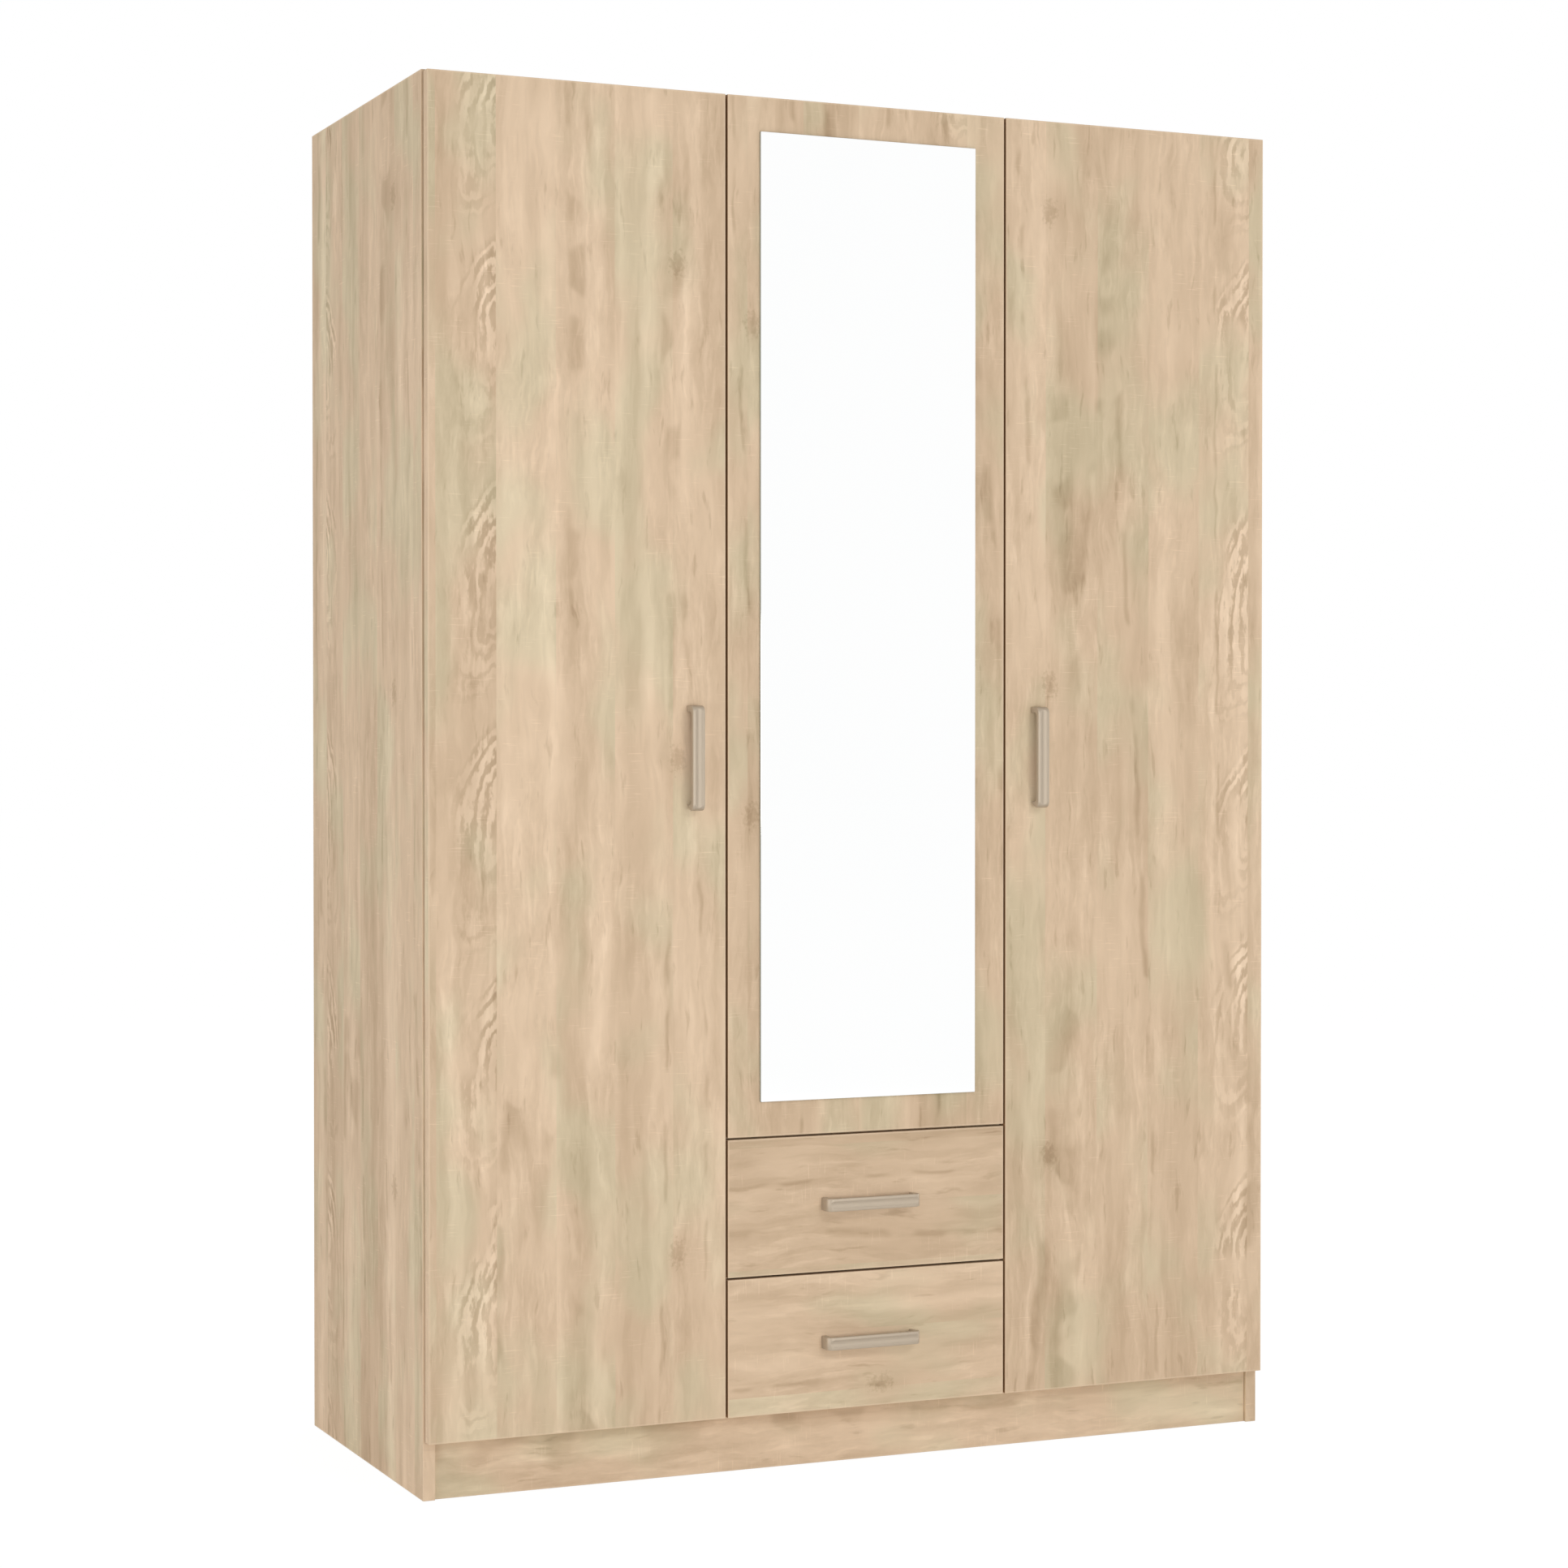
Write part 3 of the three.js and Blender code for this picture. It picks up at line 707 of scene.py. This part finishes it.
# Each board is cut from its own place on the sheet, given across the grain and along it, in metres
# The fronts get painted shade on the edges that look onto the next front
board("door_left", Z, (-0.090, 0.0), lift=0.01, edge=oak_painted_gap_shade)
board("door_right", Z, (-0.381, 3.1), edge=oak_painted_gap_shade)
board("mirror_door", Z, (0.212, 6.2), edge=oak_painted_gap_shade)
board("side_panel_left", Z, (0.126, 2.4), lift=0.045)
board("side_panel_right", Z, (1.65, 4.4))
board("plinth_front", X, (0.010, 2.9), lift=0.045)
board("plinth_back", X, (0.70, 5.4))
board("drawer_upper_front", X, (0.312, 8.4), lift=-0.08, edge=oak_painted_gap_shade)
board("drawer_lower_front", X, (0.216, 9.6), lift=0.06, edge=oak_painted_gap_shade)
board("top_panel", X, (0.0, 11.0))
board("bottom_panel", X, (0.3, 12.4))
board("partition_left", Z, (0.6, 13.9))
board("partition_right", Z, (1.2, 15.9))
board("shelf_over_drawers", X, (0.1, 17.9))
board("middle_shelf_lower", X, (0.35, 18.9))
board("middle_shelf_upper", X, (0.75, 19.9))
board("hat_shelf_left", X, (0.95, 20.9))
board("hat_shelf_right", X, (1.25, 21.9))
for number, level in enumerate(("lower", "upper")):
    for turn, side in enumerate(("side_left", "side_right", "back")):
        board(f"drawer_{level}_{side}", X if side == "back" else Y, (0.2 + 0.4 * turn, 24.0 + number))


# ---------------------------------------------------------------- hardboard back and drawer bottoms

NAIL_HEAD = 0.4 * MM
NAIL_RADIUS = 3 * MM
NAIL_PITCH = 110 * MM
NAIL_INSET = 7 * MM


def hardboard(node, grain, start, raw_side, thinned=0.0):
    """A sheet printed on one side. raw_side is the axis and sign of the side that is left brown."""
    axis, sign = raw_side
    bm = merged_copy(node)
    low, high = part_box(node)
    raw_face = high[axis] if sign > 0 else low[axis]
    for vert in bm.verts:
        if abs(vert.co[axis] - raw_face) < 0.01 * MM:
            vert.co[axis] -= sign * thinned
    lay_grain(bm, node, grain, start)
    for face in bm.faces:
        printed = face.normal[axis] * sign < -0.9
        face.material_index = 0 if printed else 1
    shade_flat_sheet(bm)
    piece_from(bm, node + "_sheet", BODY_OF[node], SLOT_OF[node], [hardboard_face, hardboard_back], node)


def evenly(low, high, pitch):
    """Places from low to high, no further apart than the pitch."""
    gaps = math.ceil((high - low) / pitch)
    return [low + (high - low) * number / gaps for number in range(gaps + 1)]


def back_nails(bm):
    low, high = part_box("back_panel")
    seat = high.y - NAIL_HEAD
    rows = {low.x + NAIL_INSET, high.x - NAIL_INSET}
    for side in ("left", "right"):
        partition_low, partition_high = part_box("partition_" + side)
        middle = (partition_low.x + partition_high.x) / 2
        rows.add(middle + (NAIL_INSET / 2 if side == "left" else -NAIL_INSET / 2))
    places = {(x, z) for x in rows for z in evenly(low.z + NAIL_INSET, high.z - NAIL_INSET, NAIL_PITCH)}
    for z in (low.z + NAIL_INSET, high.z - NAIL_INSET):
        places.update((x, z) for x in evenly(low.x + NAIL_INSET, high.x - NAIL_INSET, NAIL_PITCH))
    outline = ((0, NAIL_HEAD), (0.7 * NAIL_RADIUS, 0.8 * NAIL_HEAD), (NAIL_RADIUS, 0), (0, 0))
    for x, z in sorted(places):
        turned(bm, outline, (x, seat, z), (0, 1, 0), 10)


hardboard("back_panel", Z, (0.10, 30.0), (Y, 1), NAIL_HEAD)
hardboard("drawer_lower_bottom", X, (0.5, 33.0), (Z, -1))
hardboard("drawer_upper_bottom", X, (0.9, 34.0), (Z, -1))
fasteners("back_nails", "carcass", back_nails, zinc)


# ---------------------------------------------------------------- metalwork

HINGED_DOORS = {"left": "left_door", "mirror": "middle_door", "right": "right_door"}
HINGE_PLACES = ("bottom", "middle", "top")
CUP_SCREW_RISE = 20 * MM
PLATE_SCREW_RISE = 17 * MM
PLATE_THICKNESS = 3.0 * MM
ARM_FACE = 11.7 * MM
SOCKET_SCREW_RISE = 20.3 * MM
SOCKET_PLATE = 2.5 * MM
HANDLE_LEG = 8 * MM
PLATE_FROM_ARM_END = 22 * MM
ARM_SCREW_SETBACK = 9 * MM

# Screw heads, each a radius and a height
CUP_SCREW = (3.2 * MM, 0.35 * MM)
PLATE_SCREW = (4 * MM, 1.2 * MM)
ARM_SCREW = (3.4 * MM, 0.8 * MM)
SOCKET_SCREW = (2.6 * MM, 0.9 * MM)
HANDLE_SCREW = (4.2 * MM, 1.2 * MM)

# What a node's name starts with, its finish, and how far its edges are rounded
METAL_FINISHES = (
    ("handle_door", satin_along_z, 0.2 * MM),
    ("handle_drawer", satin_along_x, 0.2 * MM),
    ("hinge_arm", nickel, 0.8 * MM),
    ("hinge_cup", nickel, 0.2 * MM),
    ("rail_socket", nickel, 0.4 * MM),
    ("hanging_rail", chrome, 0.2 * MM),
    ("drawer_runner", plastic, 0.8 * MM),
)


def finish_metal_and_runners():
    for node in NODES:
        for start, finish, rounding in METAL_FINISHES:
            if node.startswith(start):
                finished_copy(node, finish, rounding)


def middle_of(node):
    low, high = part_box(node)
    return (low + high) / 2


def cup_screws(tag):
    def add(bm):
        for place in HINGE_PLACES:
            node = f"hinge_cup_{tag}_{place}"
            middle = middle_of(node)
            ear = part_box(node)[1].y
            for rise in (-CUP_SCREW_RISE, CUP_SCREW_RISE):
                cross_screw(bm, (middle.x, ear, middle.z + rise), (0, 1, 0), *CUP_SCREW)
    return add


def plate_screws(bm):
    for tag in HINGED_DOORS:
        for place in HINGE_PLACES:
            node = f"hinge_arm_{tag}_{place}"
            low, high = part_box(node)
            middle = (low + high) / 2
            on_left = tag == "left"
            wall = low.x if on_left else high.x
            into_bay = 1 if on_left else -1
            plate_y = high.y - PLATE_FROM_ARM_END
            for rise in (-PLATE_SCREW_RISE, PLATE_SCREW_RISE):
                seat = (wall + into_bay * PLATE_THICKNESS, plate_y, middle.z + rise)
                cross_screw(bm, seat, (into_bay, 0, 0), *PLATE_SCREW)
            seat = (wall + into_bay * ARM_FACE, plate_y + ARM_SCREW_SETBACK, middle.z)
            cross_screw(bm, seat, (into_bay, 0, 0), *ARM_SCREW)


def socket_screws(bm):
    for node in NODES:
        if not node.startswith("rail_socket"):
            continue
        low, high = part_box(node)
        middle = (low + high) / 2
        on_left_wall = node.endswith("at_left")
        into_bay = 1 if on_left_wall else -1
        seat_x = (low.x if on_left_wall else high.x) + into_bay * SOCKET_PLATE
        for rise in (-SOCKET_SCREW_RISE, SOCKET_SCREW_RISE):
            cross_screw(bm, (seat_x, middle.y, middle.z + rise), (into_bay, 0, 0), *SOCKET_SCREW)


def handle_screws(handle, front):
    """Two screws from behind, through the front into the legs of its handle."""
    def add(bm):
        low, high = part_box(handle)
        middle = (low + high) / 2
        along = Z if high.z - low.z > high.x - low.x else X
        for sign in (-1, 1):
            place = Vector((middle.x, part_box(front)[1].y, middle.z))
            place[along] += sign * ((high - low)[along] - HANDLE_LEG) / 2
            cross_screw(bm, place, (0, 1, 0), *HANDLE_SCREW)
    return add


finish_metal_and_runners()
for tag, door in HINGED_DOORS.items():
    fasteners(f"cup_screws_{tag}", door, cup_screws(tag), zinc)
fasteners("hinge_plate_screws", "carcass", plate_screws, zinc)
fasteners("rail_socket_screws", "carcass", socket_screws, zinc)
for handle, front in (
    ("handle_door_left", "door_left"), ("handle_door_right", "door_right"),
    ("handle_drawer_lower", "drawer_lower_front"), ("handle_drawer_upper", "drawer_upper_front"),
):
    fasteners(handle + "_screws", BODY_OF[front], handle_screws(handle, front), zinc)


# ---------------------------------------------------------------- shelf pins

PIN_RADIUS = 2.4 * MM
PIN_COLLAR_RADIUS = 4.5 * MM
PIN_COLLAR = 1.2 * MM
PIN_LENGTH = 9 * MM
PIN_INSET = 45 * MM
PIN_OUTLINE = (
    (0, PIN_LENGTH), (PIN_RADIUS - 0.5 * MM, PIN_LENGTH), (PIN_RADIUS, PIN_LENGTH - 0.5 * MM),
    (PIN_RADIUS, PIN_COLLAR), (PIN_COLLAR_RADIUS - 0.4 * MM, PIN_COLLAR),
    (PIN_COLLAR_RADIUS, PIN_COLLAR - 0.4 * MM), (PIN_COLLAR_RADIUS, 0), (0, 0),
)
PIN_GAP = 0.05 * MM
WALL_GAP = 0.3 * MM


def shelf_pins(bm):
    """Four pins from the walls under each loose shelf, which rests on their collars."""
    for node in ("middle_shelf_lower", "middle_shelf_upper", "hat_shelf_left", "hat_shelf_right"):
        low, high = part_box(node)
        rest = low.z - PIN_COLLAR_RADIUS - PIN_GAP
        for y in (low.y + PIN_INSET, high.y - PIN_INSET):
            turned(bm, PIN_OUTLINE, (low.x - WALL_GAP, y, rest), (1, 0, 0))
            turned(bm, PIN_OUTLINE, (high.x + WALL_GAP, y, rest), (-1, 0, 0))


fasteners("shelf_pins", "carcass", shelf_pins, nickel)


# ---------------------------------------------------------------- mirror

def mirror_sheet():
    bm = merged_copy("mirror")
    soften(bm, MIRROR_ROUNDING)
    ground = bm.faces.layers.float.new("ground")
    for face in bm.faces:
        face[ground] = 0.0 if face.normal.y < -0.9 else 1.0
    shade_flat_sheet(bm)
    piece_from(bm, "mirror_sheet", BODY_OF["mirror"], SLOT_OF["mirror"], [silvering], "mirror")


mirror_sheet()


# ---------------------------------------------------------------- studio

WORLD_LIGHT = 0.55
FLOOR_GLOW = 0.85
FLOOR_GLOW_STRENGTH = 1.10
FLOOR_HALF_SIZE = 40
FLOOR_DROP = 0.5 * MM


def seen_directly(graph):
    """1 for the rays that show the background, 0 for the ones that only light the object."""
    path = graph.node("ShaderNodeLightPath").outputs
    seen = graph.math("MAXIMUM", path["Is Camera Ray"], path["Is Glossy Ray"])
    return graph.math("MAXIMUM", seen, path["Is Transmission Ray"])


def studio_floor():
    bm = bmesh.new()
    bmesh.ops.create_grid(bm, x_segments=1, y_segments=1, size=FLOOR_HALF_SIZE)
    mesh = bpy.data.meshes.new("floor")
    bm.to_mesh(mesh)
    bm.free()
    floor = bpy.data.objects.new("floor", mesh)
    floor.location.z = -FLOOR_DROP
    bpy.context.scene.collection.objects.link(floor)
    material, graph = bare_material("pale_floor")
    diffuse = graph.node("ShaderNodeBsdfDiffuse", {"Color": (0.80, 0.80, 0.80, 1)}).outputs[0]
    glowing = {"Color": (1, 1, 1, 1), "Strength": FLOOR_GLOW_STRENGTH}
    glow = graph.node("ShaderNodeEmission", glowing).outputs[0]
    share = graph.math("MULTIPLY", seen_directly(graph), FLOOR_GLOW)
    both = graph.node("ShaderNodeMixShader", (share, diffuse, glow)).outputs[0]
    output = graph.node("ShaderNodeOutputMaterial")
    graph.feed(output.inputs["Surface"], both)
    mesh.materials.append(material)


def studio_world():
    world = bpy.data.worlds.new("studio")
    bpy.context.scene.world = world
    world.use_nodes = True
    world.node_tree.nodes.clear()
    graph = Graph(world.node_tree)
    strength = graph.math("MULTIPLY_ADD", seen_directly(graph), 1.0 - WORLD_LIGHT, WORLD_LIGHT)
    white = {"Color": (1, 1, 1, 1), "Strength": strength}
    background = graph.node("ShaderNodeBackground", white).outputs[0]
    output = graph.node("ShaderNodeOutputWorld")
    graph.feed(output.inputs["Surface"], background)


def softbox(name, place, aim, size, power):
    data = bpy.data.lights.new(name, "AREA")
    data.shape = "RECTANGLE"
    data.size, data.size_y = size
    data.energy = power
    lamp = bpy.data.objects.new(name, data)
    lamp.location = place
    lamp.rotation_euler = (Vector(aim) - Vector(place)).to_track_quat("-Z", "Y").to_euler()
    lamp.visible_camera = False
    bpy.context.scene.collection.objects.link(lamp)


studio_floor()
studio_world()
softbox("front_softbox", (-0.15, -4.4, 0.52), aim=(0.1, 0, 0.70), size=(3.0, 0.9), power=50)
softbox("high_softbox", (0.7, -4.0, 2.7), aim=(0.0, 0, 0.75), size=(0.9, 0.4), power=19)
softbox("side_softbox", (-5.2, -1.2, 0.75), aim=(-0.6, 0, 0.85), size=(2.4, 1.3), power=70)
softbox("far_side_softbox", (5.2, -0.2, 0.9), aim=(0.6, 0, 0.85), size=(2.2, 1.6), power=60)
softbox("rear_softbox", (2.8, 5.6, 1.8), aim=(0, 0, 0.9), size=(3.0, 2.4), power=90)


# ---------------------------------------------------------------- camera

CAMERA_PLACE = (-1.8573, -4.2019, 0.9604)
CAMERA_TURN = 23.711
CAMERA_DIP = 0.779
CAMERA_LENS = 75.582


def camera():
    data = bpy.data.cameras.new("camera")
    data.lens = CAMERA_LENS
    data.sensor_width = 36
    data.clip_end = 200
    seen_from = bpy.data.objects.new("camera", data)
    seen_from.location = CAMERA_PLACE
    seen_from.rotation_euler = (math.radians(90 - CAMERA_DIP), 0, math.radians(-CAMERA_TURN))
    bpy.context.scene.collection.objects.link(seen_from)
    bpy.context.scene.camera = seen_from


camera()
bpy.context.scene.view_settings.view_transform = "Standard"
